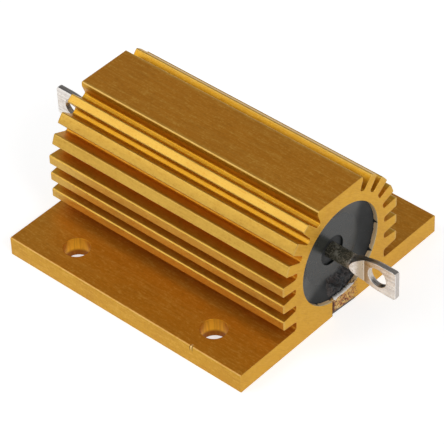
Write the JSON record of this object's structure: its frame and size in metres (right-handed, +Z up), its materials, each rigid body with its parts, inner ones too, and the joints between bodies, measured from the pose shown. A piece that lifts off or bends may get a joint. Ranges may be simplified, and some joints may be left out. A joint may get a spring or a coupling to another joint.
{
  "type": "aluminium housed power resistor",
  "caption": "Gold anodised finned housing on a drilled base flange, with a wound resistance element moulded into its bore and a flat solder lug at each end.",
  "frame": {"origin": "centre of the seating face, on the floor that the part rests on", "axes": "+X along the bore towards terminal a, which is the end with the moulding gate; +Z up from the seating face to the top land; +Y across the fins"},
  "size_m": [0.0708, 0.0472, 0.0239],
  "materials": {
    "gold_anodised": "gold anodised extrusion, satin, with lines along the bore",
    "moulding_compound": "dark filled compound, semi-gloss where the mould left it smooth",
    "steatite": "fired, matt",
    "resistance_wire": "drawn nickel alloy wire",
    "plated_steel": "pressed and plated",
    "tinned_copper": "dull tin, flattened between dies"
  },
  "bodies": {
    "root": {"housing": "gold_anodised", "compound": "moulding_compound", "core": "steatite", "winding": "resistance_wire", "end_cap_a": "plated_steel", "end_cap_b": "plated_steel", "terminal_a": "tinned_copper", "terminal_b": "tinned_copper"}
  },
  "joints": []
}
